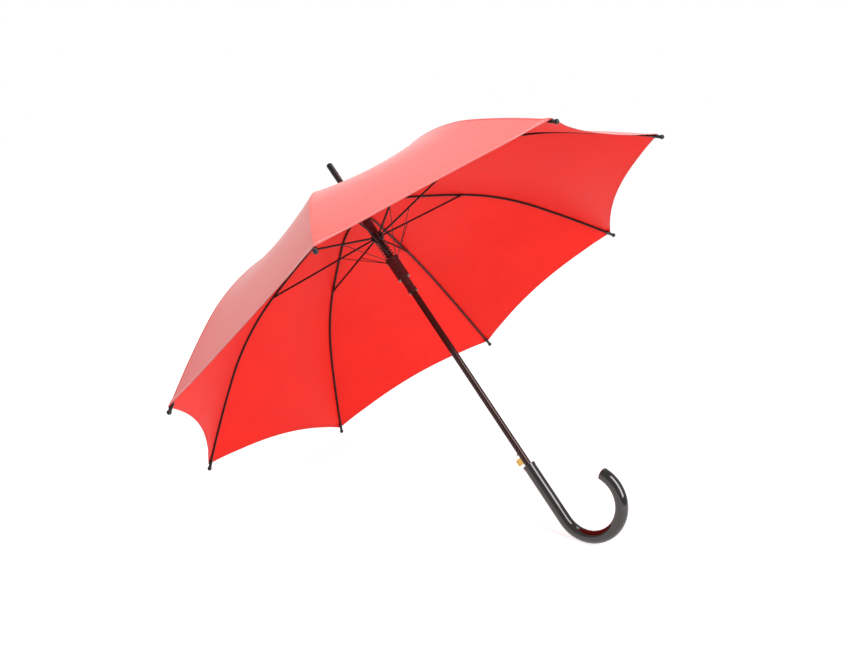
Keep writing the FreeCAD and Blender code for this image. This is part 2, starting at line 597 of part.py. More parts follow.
def crook_handle():
    """Straight grip bored for the shaft, then the round crook with a domed end."""
    grip = Part.makeCylinder(HANDLE_RADIUS, HANDLE_STRAIGHT, Vector(0, 0, CROOK_HEIGHT))
    rim = Part.makeCylinder(HANDLE_RADIUS + HANDLE_RIM, HANDLE_RIM_LENGTH,
                            Vector(0, 0, HANDLE_TOP - HANDLE_RIM_LENGTH))
    grip = grip.fuse(rim)
    circle = Part.makeCircle(HANDLE_RADIUS, Vector(0, 0, CROOK_HEIGHT), Vector(0, 0, 1))
    section = Part.Face(Part.Wire(circle))
    centre = Vector(CROOK_RADIUS, 0, CROOK_HEIGHT)
    crook = section.revolve(centre, Vector(0, -1, 0), CROOK_SWEEP)
    swing = math.radians(180.0 + CROOK_SWEEP)
    end = centre + Vector(CROOK_RADIUS * math.cos(swing), 0, CROOK_RADIUS * math.sin(swing))
    along = Vector(-math.sin(swing), 0, math.cos(swing))
    dome = Part.makeCylinder(HANDLE_RADIUS, DOME_LENGTH, end, along)
    rounded = [e for e in dome.Edges if (e.CenterOfMass - end - along * DOME_LENGTH).Length < 1.0]
    dome = dome.makeFillet(DOME_ROUND, rounded)
    body = grip.multiFuse([crook, dome])
    bore = Part.makeCylinder(FIXED_BORE, SHAFT_IN_HANDLE + THROUGH,
                             Vector(0, 0, HANDLE_TOP - SHAFT_IN_HANDLE))
    return body.cut(bore)


# ---------------------------------------------------------------- laying it down
def floor_lean():
    """Angle of the shaft to the floor when two neighbouring tip caps and the crook touch it."""
    reach = OUTER_RIB.length
    out = OUTER_RIB.point(reach) + heading(TIP_SLOPE) * CAP_BALL_OUT
    ball = Vector(-out.x * math.cos(math.radians(PITCH / 2.0)), 0, out.z)
    bend = Vector(CROOK_RADIUS, 0, CROOK_HEIGHT)
    between = bend - ball
    extra = CROOK_RADIUS + HANDLE_RADIUS - CAP_BALL_RADIUS
    lean = math.atan2(between.z, between.x) + math.acos(extra / between.Length)
    floor = ball.x * math.cos(lean) + ball.z * math.sin(lean) - CAP_BALL_RADIUS
    return lean, floor


LEAN, FLOOR = floor_lean()


def lying(slide):
    """Placement that lays the standing umbrella on the floor, moved along it by slide."""
    s, c = math.sin(LEAN), math.cos(LEAN)
    return FreeCAD.Placement(FreeCAD.Matrix(s, 0, -c, slide, 0, 1, 0, 0, c, 0, s, -FLOOR, 0, 0, 0, 1))


def pieces():
    """Every piece by name, standing up."""
    made = {
        "shaft_tube": shaft_tube(), "ferrule": ferrule(), "ferrule_cap": ferrule_cap(),
        "crown_notch": crown_notch(), "crown_cap": crown_cap(), "stretcher_hub": stretcher_hub(),
        "opening_spring": opening_spring(), "runner_housing": runner_housing(),
        "runner_tube": runner_tube(), "runner_catch": runner_catch(),
        "trigger_button": trigger_button(), "crook_handle": crook_handle(),
    }
    repeated = {"rib_inner": rib_inner(), "rib_outer": rib_outer(), "stretcher": stretcher(),
                "link_wire": link_wire(), "tip_cap": tip_cap()}
    panel = gore()
    for number in range(1, RIB_COUNT + 1):
        for name, shape in repeated.items():
            made[f"{name}_{number}"] = spin(shape, azimuth(number))
        made[f"gore_{number}"] = spin(panel, azimuth(number) + PITCH / 2.0)
    return made


def centre_slide(made):
    """Slide along the floor that puts the origin under the middle of the whole umbrella."""
    laid = lying(0.0)
    low, high = 1e9, -1e9
    for shape in made.values():
        copy = shape.copy()
        copy.Placement = laid.multiply(copy.Placement)
        box = copy.optimalBoundingBox(False, False)
        low, high = min(low, box.XMin), max(high, box.XMax)
    return -(low + high) / 2.0


def main():
    os.makedirs("parts", exist_ok=True)
    made = pieces()
    laid = lying(centre_slide(made))
    for name, shape in made.items():
        if not shape.isValid() or shape.Volume <= 0:
            raise ValueError(f"{name} isn't a sound solid")
        shape.Placement = laid.multiply(shape.Placement)
        shape.exportStep(f"parts/{name}.step")
    print("rib length", round(RIB_LENGTH, 1), "lean", round(math.degrees(LEAN), 2), "pieces", len(made))


main()
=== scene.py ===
"""Looks of the red stick umbrella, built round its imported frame.

Small pieces are modelled standing up, in millimetres about the crown (z runs up the shaft,
z = 0 at the rib pivots, x along one rib), and are then laid down with the umbrella.
"""
import bpy
import json
import math
from mathutils import Matrix, Vector

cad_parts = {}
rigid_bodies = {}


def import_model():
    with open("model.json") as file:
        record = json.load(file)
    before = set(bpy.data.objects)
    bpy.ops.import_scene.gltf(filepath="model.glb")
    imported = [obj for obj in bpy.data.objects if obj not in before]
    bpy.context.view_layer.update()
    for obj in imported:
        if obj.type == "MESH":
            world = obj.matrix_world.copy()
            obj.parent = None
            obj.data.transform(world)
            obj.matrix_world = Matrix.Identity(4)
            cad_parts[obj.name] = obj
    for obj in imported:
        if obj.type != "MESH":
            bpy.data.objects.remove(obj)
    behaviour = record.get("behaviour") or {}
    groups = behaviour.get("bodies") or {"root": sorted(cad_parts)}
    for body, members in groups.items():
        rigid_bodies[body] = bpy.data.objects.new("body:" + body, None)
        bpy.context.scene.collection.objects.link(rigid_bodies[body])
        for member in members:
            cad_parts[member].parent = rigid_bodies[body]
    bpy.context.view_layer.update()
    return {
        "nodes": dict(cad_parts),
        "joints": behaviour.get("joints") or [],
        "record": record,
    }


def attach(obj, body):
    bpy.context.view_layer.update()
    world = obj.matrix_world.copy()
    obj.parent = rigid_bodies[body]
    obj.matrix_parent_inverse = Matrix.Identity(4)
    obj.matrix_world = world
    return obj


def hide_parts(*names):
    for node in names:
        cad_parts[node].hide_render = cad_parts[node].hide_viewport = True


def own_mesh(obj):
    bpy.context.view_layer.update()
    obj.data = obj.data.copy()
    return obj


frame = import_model()
bpy.ops.object.select_all(action="DESELECT")
joints = {joint["name"]: joint for joint in frame["joints"]}
nodes = frame["nodes"]

# ---------------------------------------------------------------- sizes, mm
MM = 0.001
RIBS = 8
HALF_PITCH = math.pi / RIBS

RIB_ROOT_SLOPE = 14.0
KNEE_SLOPE = -17.0
TIP_SLOPE = -44.5
TIP_RADIUS = 509.0
TIP_DROP = 224.0
RIB_WIDTH = 3.0

CLOTH = 0.4
CLOTH_LIFT = 2.25
HEM_STOP = 1.5
HEM_PULL = 29.0
CAP_STEM = 10.0
CAP_RAISE = 1.35
CAP_SLOPE_RUN = 9.0
GORE_SAG = 8.0
FULL_SAG_RADIUS = 300.0
SAG_POWER = 1.5
SAG_INWARD = 0.6
CROWN_HOLE = 7.2
CROWN_RISE = 7.6
CROWN_FLAT = 38.0
CROWN_RUN = 45.0
SEAM_HALF = 2.6
SEAM_RAISE = 0.45
HEM_BAND = 8.0
HEM_RAISE = 0.3
HEM_STEP = 0.8
ROW_STEP = 9.0
INNER_FOLDED_SHARE = 0.14
OUTER_FOLDED_SHARE = 0.055

SPRING_RADIUS = 9.1
SPRING_WIRE = 1.0
SPRING_TURNS = 6.5
TIE_WIRE = 0.5
THREAD = 0.22

# ---------------------------------------------------------------- places from the frame
shaft_up = Vector(joints["runner_slide"]["axis"]).normalized()
crook_side = Vector((0, 1, 0)).cross(shaft_up).normalized()
crown_pivots = [Vector(joints[f"rib_{n}_fold"]["pos_m"]) for n in range(1, RIBS + 1)]
crown = sum(crown_pivots, Vector()) / RIBS
STANDING = Matrix.Translation(crown) @ Matrix((crook_side, (0, 1, 0), shaft_up)).transposed().to_4x4() \
    @ Matrix.Scale(MM, 4)
STANDING_BACK = STANDING.inverted()


def rib_turn(number):
    """Turn about the shaft that brings the x axis over rib 1, 2, ..."""
    return Matrix.Rotation((2 * number - 1) * HALF_PITCH, 4, "Z")


def in_rib_plane(point, number):
    """Radius and height, in millimetres about the crown, of a point in one rib's plane."""
    local = rib_turn(number).inverted() @ STANDING_BACK @ Vector(point)
    return local.x, local.z


PIVOT_RADIUS = in_rib_plane(crown_pivots[0], 1)[0]
KNEE = in_rib_plane(joints["rib_1_flex"]["pos_m"], 1)


def along_shaft(node):
    """Lowest and highest place of a CAD piece along the shaft, in millimetres about the crown."""
    heights = [(STANDING_BACK @ v.co).z for v in nodes[node].data.vertices]
    return min(heights), max(heights)


# ---------------------------------------------------------------- the ribs' curve
def two_arcs(start, start_slope, end, end_slope):
    """Two tangent arcs between two places, as (x, z, slope, length, bend) each."""
    p, q = Vector(start), Vector(end)
    t = Vector((math.cos(math.radians(start_slope)), math.sin(math.radians(start_slope))))
    u = Vector((math.cos(math.radians(end_slope)), math.sin(math.radians(end_slope))))
    gap, both = q - p, t + u
    k = 2.0 * (1.0 - t.dot(u))
    d = (-gap.dot(both) + math.sqrt(gap.dot(both) ** 2 + k * gap.dot(gap))) / k
    middle = (p + t * d + q - u * d) / 2.0
    arcs, slope = [], math.radians(start_slope)
    for a, b in ((p, middle), (middle, q)):
        chord = b - a
        swing = math.atan2(chord.y, chord.x) - slope
        bend = 2.0 * math.sin(swing) / chord.length
        arcs.append((a.x, a.y, slope, 2.0 * swing / bend, bend))
        slope += 2.0 * swing
    return arcs


INNER_ARCS = two_arcs((PIVOT_RADIUS, 0.0), RIB_ROOT_SLOPE, KNEE, KNEE_SLOPE)
OUTER_ARCS = two_arcs(KNEE, KNEE_SLOPE, (TIP_RADIUS, -TIP_DROP), TIP_SLOPE)
KNEE_RUN = sum(arc[3] for arc in INNER_ARCS)
RIB_RUN = KNEE_RUN + sum(arc[3] for arc in OUTER_ARCS)
HEM_RUN = RIB_RUN - HEM_STOP


def on_rib(run, lift):
    """Radius, height and slope on the rib's curve, lifted off it by its upper normal."""
    arcs = INNER_ARCS + OUTER_ARCS
    for index, (x, z, slope, length, bend) in enumerate(arcs):
        if run <= length or index == len(arcs) - 1:
            break
        run -= length
    end = slope + bend * run
    return (x + (math.sin(end) - math.sin(slope)) / bend - lift * math.sin(end),
            z - (math.cos(end) - math.cos(slope)) / bend + lift * math.cos(end), end)


def ease(low, high, value):
    """Smooth step from 0 below low to 1 above high."""
    t = min(1.0, max(0.0, (value - low) / (high - low)))
    return t * t * (3.0 - 2.0 * t)


# ---------------------------------------------------------------- modelling helpers
def select_only(*objects):
    bpy.ops.object.select_all(action="DESELECT")
    for obj in objects:
        obj.select_set(True)
    bpy.context.view_layer.objects.active = objects[0]


def made(name):
    """The piece that the last primitive made, named."""
    obj = bpy.context.object
    obj.name = name
    return obj


def joined(name, parts):
    select_only(*parts)
    if len(parts) > 1:
        bpy.ops.object.join()
    return made(name)


def finished(obj, **settings):
    """Adds one modifier with its settings and applies it."""
    kind = settings.pop("kind")
    modifier = obj.modifiers.new(kind.title(), kind)
    for key, value in settings.items():
        setattr(modifier, key, value)
    select_only(obj)
    bpy.ops.object.modifier_apply(modifier=modifier.name)
    return obj


def settled(obj):
    """Puts the object's own place into its mesh."""
    select_only(obj)
    bpy.ops.object.transform_apply(location=True, rotation=True, scale=True)
    return obj


def laid(obj, number=None):
    """Lays a standing piece down, over one rib or on the shaft."""
    turn = rib_turn(number) if number else Matrix.Identity(4)
    obj.data.transform(STANDING @ turn)
    return obj


def copied(obj, name):
    copy = obj.copy()
    copy.data = obj.data.copy()
    copy.name = name
    bpy.context.collection.objects.link(copy)
    return copy


def smooth_shaded(obj, angle=40.0):
    select_only(obj)
    bpy.ops.object.shade_smooth_by_angle(angle=math.radians(angle))
    return obj


def dressed(obj, material):
    obj.data.materials.clear()
    obj.data.materials.append(material)
    return obj


# ---------------------------------------------------------------- shader helpers
def put(tree, kind, settings=None, **inputs):
    """A node with its settings, and its inputs by name: a socket is linked, a value is set."""
    node = tree.nodes.new("ShaderNode" + kind)
    for key, value in (settings or {}).items():
        setattr(node, key, value)
    for key, value in inputs.items():
        numbered = key[0] == "i" and key[1:].isdigit()
        socket = node.inputs[int(key[1:]) if numbered else key.replace("_", " ")]
        if isinstance(value, bpy.types.NodeSocket):
            tree.links.new(value, socket)
        else:
            socket.default_value = value
    return node


def sum_of(tree, operation, a, b=0.0, c=0.0):
    node = put(tree, "Math", {"operation": operation}, i0=a, i1=b)
    if operation in ("MULTIPLY_ADD", "COMPARE"):
        if isinstance(c, bpy.types.NodeSocket):
            tree.links.new(c, node.inputs[2])
        else:
            node.inputs[2].default_value = c
    return node.outputs[0]


def group_of(name, inputs, outputs):
    tree = bpy.data.node_groups.new(name, "ShaderNodeTree")
    for label, kind, value in inputs:
        socket = tree.interface.new_socket(name=label, in_out="INPUT", socket_type=kind)
        if value is not None:
            socket.default_value = value
    for label, kind in outputs:
        tree.interface.new_socket(name=label, in_out="OUTPUT", socket_type=kind)
    return tree, tree.nodes.new("NodeGroupInput"), tree.nodes.new("NodeGroupOutput")


def placed(tree, group, **inputs):
    """One use of a shared group, with its own values."""
    node = tree.nodes.new("ShaderNodeGroup")
    node.node_tree = group
    for key, value in inputs.items():
        socket = node.inputs[key.replace("_", " ")]
        if isinstance(value, bpy.types.NodeSocket):
            tree.links.new(value, socket)
        else:
            socket.default_value = value
    return node


def surface_grain_group():
    """Fine grain and broad uneven patches, for moulded, painted and polished surfaces."""
    tree, given, out = group_of(
        "surface_grain",
        [("Vector", "NodeSocketVector", None), ("Fine", "NodeSocketFloat", 900.0),
         ("Broad", "NodeSocketFloat", 30.0), ("Balance", "NodeSocketFloat", 0.5)],
        [("Mask", "NodeSocketFloat"), ("Height", "NodeSocketFloat")])
    fine = put(tree, "TexNoise", None, Vector=given.outputs["Vector"], Scale=given.outputs["Fine"],
               Detail=3.0, Roughness=0.6)
    broad = put(tree, "TexNoise", None, Vector=given.outputs["Vector"], Scale=given.outputs["Broad"],
                Detail=5.0, Roughness=0.55)
    mixed = put(tree, "Mix", {"data_type": "FLOAT"}, i0=given.outputs["Balance"],
                i2=fine.outputs["Fac"], i3=broad.outputs["Fac"])
    spread = put(tree, "MapRange", None, Value=mixed.outputs[0], From_Min=0.35, From_Max=0.65)
    tree.links.new(spread.outputs["Result"], out.inputs["Mask"])
    tree.links.new(fine.outputs["Fac"], out.inputs["Height"])
    return tree


def scratches_group():
    """Sparse hairline scratches that run along one direction."""
    tree, given, out = group_of(
        "hairlines",
        [("Vector", "NodeSocketVector", None), ("Scale", "NodeSocketFloat", 60.0),
         ("Cover", "NodeSocketFloat", 0.2)],
        [("Mask", "NodeSocketFloat")])
    lines = put(tree, "TexNoise", None, Vector=given.outputs["Vector"], Scale=given.outputs["Scale"],
                Detail=8.0, Roughness=0.75, Distortion=0.4)
    top = sum_of(tree, "SUBTRACT", 0.75, given.outputs["Cover"])
    marks = put(tree, "MapRange", None, Value=lines.outputs["Fac"], From_Min=top, From_Max=0.8)
    tree.links.new(marks.outputs["Result"], out.inputs["Mask"])
    return tree


def weave_group():
    """Plain weave: warp and weft threads over and under, from the cloth's own coordinates."""
    tree, given, out = group_of(
        "plain_weave",
        [("Vector", "NodeSocketVector", None), ("Threads", "NodeSocketFloat", 2400.0)],
        [("Height", "NodeSocketFloat"), ("Mask", "NodeSocketFloat")])
    parts = put(tree, "SeparateXYZ", None, Vector=given.outputs["Vector"])
    turns = sum_of(tree, "MULTIPLY", given.outputs["Threads"], 2.0 * math.pi)
    warp = sum_of(tree, "SINE", sum_of(tree, "MULTIPLY", parts.outputs["X"], turns))
    weft = sum_of(tree, "SINE", sum_of(tree, "MULTIPLY", parts.outputs["Y"], turns))
    crossing = sum_of(tree, "MULTIPLY", warp, weft)
    slub = put(tree, "TexNoise", None, Vector=given.outputs["Vector"], Scale=900.0, Detail=2.0)
    height = sum_of(tree, "MULTIPLY_ADD", slub.outputs["Fac"], 0.6, crossing)
    tree.links.new(height, out.inputs["Height"])
    tree.links.new(slub.outputs["Fac"], out.inputs["Mask"])
    return tree


def stitch_group():
    """A row of stitches at one distance from an edge: dashes along the other coordinate."""
    tree, given, out = group_of(
        "stitch_row",
        [("Distance", "NodeSocketFloat", 0.0), ("Place", "NodeSocketFloat", 0.0065),
         ("Along", "NodeSocketFloat", 0.0), ("Per Metre", "NodeSocketFloat", 380.0)],
        [("Mask", "NodeSocketFloat")])
    near = sum_of(tree, "COMPARE", given.outputs["Distance"], given.outputs["Place"], 0.00035)
    beat = sum_of(tree, "SINE", sum_of(tree, "MULTIPLY", given.outputs["Along"],
                                       sum_of(tree, "MULTIPLY", given.outputs["Per Metre"], 2.0 * math.pi)))
    dash = sum_of(tree, "GREATER_THAN", beat, -0.5)
    tree.links.new(sum_of(tree, "MULTIPLY", near, dash), out.inputs["Mask"])
    return tree


GRAIN = surface_grain_group()
HAIRLINES = scratches_group()
WEAVE = weave_group()
STITCHES = stitch_group()


def begun(name):
    material = bpy.data.materials.new(name)
    material.use_nodes = True
    tree = material.node_tree
    return material, tree, tree.nodes["Principled BSDF"]


def mixed_colour(tree, factor, first, second):
    node = put(tree, "Mix", {"data_type": "RGBA"}, i0=factor)
    for index, value in ((6, first), (7, second)):
        if isinstance(value, bpy.types.NodeSocket):
            tree.links.new(value, node.inputs[index])
        else:
            node.inputs[index].default_value = (*value, 1.0)
    return node.outputs[2]


def hard_surface(name, dark, light, rough, rough_spread, metal=0.0, fine=900.0, broad=30.0,
                 bump=0.02, hairlines=0.0, stretch=None, coat=0.0, coat_rough=0.03, specular=0.5):
    """Moulded, painted or polished surface: uneven colour and gloss, fine grain, and light scratches."""
    material, tree, shader = begun(name)
    where = put(tree, "TexCoord").outputs["Object"]
    if stretch:
        lean = math.atan2(-shaft_up.x, shaft_up.z)
        where = put(tree, "Mapping", {"vector_type": "POINT"}, Vector=where,
                    Rotation=(0.0, lean, 0.0), Scale=stretch).outputs["Vector"]
    grain = placed(tree, GRAIN, Vector=where, Fine=fine, Broad=broad, Balance=0.6)
    colour = mixed_colour(tree, grain.outputs["Mask"], dark, light)
    rough_out = put(tree, "MapRange", None, Value=grain.outputs["Mask"],
                    To_Min=rough, To_Max=rough + rough_spread).outputs["Result"]
    if hairlines:
        marks = placed(tree, HAIRLINES, Vector=where, Scale=broad * 6.0, Cover=hairlines).outputs["Mask"]
        colour = mixed_colour(tree, sum_of(tree, "MULTIPLY", marks, 0.35), colour,
                              tuple(min(1.0, c * 1.6 + 0.02) for c in light))
        rough_out = sum_of(tree, "MULTIPLY_ADD", marks, 0.2, rough_out)
    bumps = put(tree, "Bump", None, Strength=bump, Distance=0.0004, Height=grain.outputs["Height"])
    tree.links.new(colour, shader.inputs["Base Color"])
    tree.links.new(rough_out, shader.inputs["Roughness"])
    tree.links.new(bumps.outputs["Normal"], shader.inputs["Normal"])
    shader.inputs["Metallic"].default_value = metal
    shader.inputs["Coat Weight"].default_value = coat
    shader.inputs["Coat Roughness"].default_value = coat_rough
    shader.inputs["Specular IOR Level"].default_value = specular
    return material


def canopy_cloth():
    """Thin red cloth: plain weave, soft folds beside the seams, stitched hem and seams, and a paler outside
    layer that is a painted highlight.
    """
    material, tree, shader = begun("canopy_cloth")
    cloth = put(tree, "UVMap", {"uv_map": "cloth"}).outputs["UV"]
    parts = put(tree, "SeparateXYZ", None, Vector=cloth)
    across, run = parts.outputs["X"], parts.outputs["Y"]
    hem = put(tree, "Attribute", {"attribute_name": "from_hem"}).outputs["Fac"]
    seam = sum_of(tree, "ABSOLUTE", across)
    weave = placed(tree, WEAVE, Vector=cloth, Threads=2200.0)
    patches = placed(tree, GRAIN, Vector=cloth, Fine=260.0, Broad=9.0, Balance=0.8)
    colour = mixed_colour(tree, patches.outputs["Mask"], (0.66, 0.008, 0.003), (0.72, 0.012, 0.005))
    colour = mixed_colour(tree, sum_of(tree, "MULTIPLY", weave.outputs["Mask"], 0.25), colour,
                          (0.58, 0.008, 0.004))
    outer = put(tree, "Attribute", {"attribute_name": "outer_side"}).outputs["Fac"]
    # painted highlight: the outer layer of the same red cloth gets a paler, pinker base colour for the
    # washed-out look of its lit outside
    colour = mixed_colour(tree, sum_of(tree, "MULTIPLY", outer, 0.85), colour, (0.82, 0.055, 0.038))
    at_hem = placed(tree, STITCHES, Distance=hem, Place=0.0068, Along=across).outputs["Mask"]
    at_seam = placed(tree, STITCHES, Distance=seam, Place=0.0021, Along=run).outputs["Mask"]
    stitched = sum_of(tree, "MAXIMUM", at_hem, at_seam)
    colour = mixed_colour(tree, sum_of(tree, "MULTIPLY", stitched, 0.6), colour, (0.42, 0.010, 0.006))
    edge = put(tree, "MapRange", None, Value=hem, From_Min=0.0, From_Max=0.009, To_Min=0.4, To_Max=0.0)
    colour = mixed_colour(tree, edge.outputs["Result"], colour, (0.50, 0.012, 0.008))
    tree.links.new(colour, shader.inputs["Base Color"])
    # puckers run across the seams and die out into the panel
    short = put(tree, "CombineXYZ", None, X=sum_of(tree, "MULTIPLY", across, 0.12), Y=run)
    beat = put(tree, "TexNoise", None, Vector=short.outputs["Vector"], Scale=75.0, Detail=2.0)
    near_seam = put(tree, "MapRange", None, Value=seam, From_Min=0.002, From_Max=0.035,
                    To_Min=1.0, To_Max=0.0)
    puckers = sum_of(tree, "MULTIPLY", beat.outputs["Fac"], near_seam.outputs["Result"])
    long = put(tree, "CombineXYZ", None, X=across, Y=sum_of(tree, "MULTIPLY", run, 0.15))
    drawn = put(tree, "TexNoise", None, Vector=long.outputs["Vector"], Scale=60.0, Detail=2.0)
    near_hem = put(tree, "MapRange", None, Value=hem, From_Min=0.006, From_Max=0.05, To_Min=1.0, To_Max=0.0)
    gathers = sum_of(tree, "MULTIPLY", drawn.outputs["Fac"], near_hem.outputs["Result"])
    folds = sum_of(tree, "ADD", puckers, gathers)
    broad = put(tree, "Bump", None, Strength=0.35, Distance=0.002, Height=folds)
    threads = put(tree, "Bump", None, Strength=0.25, Distance=0.00006, Height=weave.outputs["Height"],
                  Normal=broad.outputs["Normal"])
    sewn = put(tree, "Bump", {"invert": True}, Strength=0.8, Distance=0.0002, Height=stitched,
               Normal=threads.outputs["Normal"])
    tree.links.new(sewn.outputs["Normal"], shader.inputs["Normal"])
    rough = put(tree, "MapRange", None, Value=patches.outputs["Mask"], To_Min=0.42, To_Max=0.50)
    tree.links.new(rough.outputs["Result"], shader.inputs["Roughness"])
    tree.links.new(sum_of(tree, "MULTIPLY_ADD", outer, 0.50, 0.03), shader.inputs["Sheen Weight"])
    shader.inputs["Sheen Roughness"].default_value = 0.4
    shader.inputs["Specular IOR Level"].default_value = 0.2
    return material


MATERIALS = {
    "canopy_fabric": canopy_cloth(),
    "polished_shaft": hard_surface("polished_shaft", (0.030, 0.014, 0.013), (0.045, 0.022, 0.020), 0.09, 0.04,
                                   metal=0.6, fine=500.0, broad=24.0, bump=0.01, hairlines=0.12,
                                   stretch=(1.0, 1.0, 0.06)),
    "gloss_handle": hard_surface("gloss_handle", (0.004, 0.002, 0.002), (0.008, 0.005, 0.004), 0.06, 0.03,
                                 fine=160.0, broad=14.0, bump=0.012, coat=0.6, specular=0.5),
    "black_plastic": hard_surface("black_plastic", (0.006, 0.005, 0.005), (0.012, 0.010, 0.010), 0.14, 0.08,
                                  fine=900.0, broad=60.0, bump=0.03, specular=0.35),
    "dark_plastic": hard_surface("dark_plastic", (0.034, 0.009, 0.010), (0.052, 0.014, 0.015), 0.22, 0.10,
                                 fine=1100.0, broad=70.0, bump=0.04, specular=0.4),
    "black_steel": hard_surface("black_steel", (0.007, 0.006, 0.006), (0.016, 0.013, 0.014), 0.24, 0.12,
                                metal=0.3, fine=1400.0, broad=90.0, bump=0.05, hairlines=0.10),
    "wire_steel": hard_surface("wire_steel", (0.02, 0.018, 0.02), (0.04, 0.036, 0.038), 0.24, 0.10,
                               metal=0.7, fine=1600.0, broad=110.0, bump=0.03),
    "spring_steel": hard_surface("spring_steel", (0.012, 0.010, 0.011), (0.026, 0.022, 0.024), 0.16, 0.08,
                                 metal=0.5, fine=1500.0, broad=120.0, bump=0.03),
    "catch_steel": hard_surface("catch_steel", (0.06, 0.06, 0.065), (0.12, 0.12, 0.125), 0.26, 0.10,
                                metal=0.9, fine=1500.0, broad=120.0, bump=0.03, hairlines=0.15),
    "brass_trigger": hard_surface("brass_trigger", (0.52, 0.32, 0.08), (0.68, 0.45, 0.14), 0.22, 0.14,
                                  metal=1.0, fine=1200.0, broad=160.0, bump=0.03, hairlines=0.2),
}
THREAD_MATERIAL = hard_surface("sewing_thread", (0.05, 0.004, 0.004), (0.09, 0.008, 0.006), 0.6, 0.2,
                               fine=3000.0, broad=500.0, bump=0.3)

for entry in frame["record"]["subparts"]:
    piece = nodes[entry["node"]]
    piece.data.materials.clear()
    piece.data.materials.append(MATERIALS[entry["material_slot"]])


# ---------------------------------------------------------------- canopy
def cloth_point(run_line, side, outside):
    """Place on the cloth over rib x: side runs from -1 to 1, midway to the ribs on either hand."""
    lean = 1.0 - abs(side)
    hollow = 1.0 - lean * lean
    run = run_line * (HEM_RUN - HEM_PULL * hollow) / HEM_RUN
    guess = on_rib(run, CLOTH_LIFT)[0] * abs(side) * math.tan(HALF_PITCH)
    lift = 0.0
    if outside:
        lift = CLOTH + SEAM_RAISE * (1.0 - ease(SEAM_HALF - 0.5, SEAM_HALF + 0.4, guess)) \
            + HEM_RAISE * (1.0 - ease(HEM_BAND - HEM_STEP, HEM_BAND, HEM_RUN - run_line))
    lift += CAP_RAISE * ease(RIB_RUN - CAP_STEM - CAP_SLOPE_RUN, RIB_RUN - CAP_STEM, run)
    radius, height, _ = on_rib(run, CLOTH_LIFT + lift)
    rise = ease(CROWN_HOLE, CROWN_HOLE + CROWN_RUN, run)
    radius = (CROWN_HOLE + run / CROWN_RUN * CROWN_FLAT) * (1.0 - rise) + radius * rise
    height = (CROWN_RISE + lift) * (1.0 - rise) + height * rise
    sag = GORE_SAG * math.sin(math.pi / 2.0 * min(1.0, radius / FULL_SAG_RADIUS)) ** SAG_POWER * hollow
    c, s = math.cos(HALF_PITCH), math.sin(HALF_PITCH)
    outward = radius * c - SAG_INWARD * sag * radius / TIP_RADIUS
    sideways = -lean * radius * s
    hand = 1.0 if side >= 0 else -1.0
    return Vector((outward * c - sideways * s, hand * (outward * s + sideways * c), height - sag))


def cloth_sides(half_width):
    """Columns across half a panel: close together at the seam, even beyond it."""
    close = [0.0, 1.2, SEAM_HALF - 0.5, SEAM_HALF, SEAM_HALF + 0.5, 5.0, 9.0]
    even = 12
    total = len(close) + even - 1
    first = [min(d / half_width, index / total) for index, d in enumerate(close)]
    rest = [first[-1] + (1.0 - first[-1]) * (index + 1) / even for index in range(even)]
    return first + rest


def canopy_piece(name, start, stop, hem):
    """The cloth over one rib between two distances along it, with an inside and an outside."""
    count = max(2, round((stop - start) / ROW_STEP))
    rows = [start + (stop - start) * i / count for i in range(count + 1)]
    if hem:
        rows = [r for r in rows if r < stop - HEM_BAND - 3.0]
        rows += [stop - d for d in
                 (HEM_BAND + 2.0, HEM_BAND, HEM_BAND - HEM_STEP, HEM_BAND / 2.0, HEM_STEP, 0.0)]
    vertices, normals, spots, hems = [], [], [], []
    width = 0
    for outside in (False, True):
        for row in rows:
            half = max(2.0, on_rib(row, 0.0)[0] * math.tan(HALF_PITCH))
            right = cloth_sides(half)
            sides = [-x for x in reversed(right[1:])] + right
            width = len(sides)
            for side in sides:
                here = cloth_point(row, side, outside)
                small = 0.5 / half
                low, high = max(row - 0.4, 0.0), min(row + 0.4, HEM_RUN)
                along = cloth_point(high, side, outside) - cloth_point(low, side, outside)
                over = cloth_point(row, side + small, outside) - cloth_point(row, side - small, outside)
                normal = along.cross(over).normalized()
                vertices.append(here)
                normals.append(normal if outside else -normal)
                spots.append((here.y * MM, row * MM))
                hems.append((HEM_RUN - row) * MM)
    layer = len(rows) * width
    faces = []
    for i in range(len(rows) - 1):
        for j in range(width - 1):
            a, b = i * width + j, i * width + j + 1
            c, d = b + width, a + width
            faces.append((a, b, c, d))
            faces.append((layer + a, layer + d, layer + c, layer + b))
    for i in range(len(rows) - 1):
        a, b = i * width, (i + 1) * width
        faces.append((a, b, layer + b, layer + a))
        a, b = a + width - 1, b + width - 1
        faces.append((b, a, layer + a, layer + b))
    for j in range(width - 1):
        a, b = j, j + 1
        faces.append((b, a, layer + a, layer + b))
        a, b = a + layer - width, b + layer - width
        faces.append((a, b, layer + b, layer + a))
    mesh = bpy.data.meshes.new(name)
    mesh.from_pydata(vertices, [], faces)
    cloth = mesh.uv_layers.new(name="cloth")
    for loop in mesh.loops:
        cloth.data[loop.index].uv = spots[loop.vertex_index]
    from_hem = mesh.attributes.new("from_hem", "FLOAT", "POINT")
    from_hem.data.foreach_set("value", hems)
    # marks the outer layer, which the cloth material paints paler as a painted highlight, and gives more
    # sheen
    outer_side = mesh.attributes.new("outer_side", "FLOAT", "POINT")
    outer_side.data.foreach_set("value", [0.0] * layer + [1.0] * layer)
    mesh.shade_smooth()
    mesh.normals_split_custom_set_from_vertices(normals)
    obj = bpy.data.objects.new(name, mesh)
    bpy.context.collection.objects.link(obj)
    area = sum(p.area for p in mesh.polygons if all(v < layer for v in p.vertices)) * MM * MM
    return obj, area


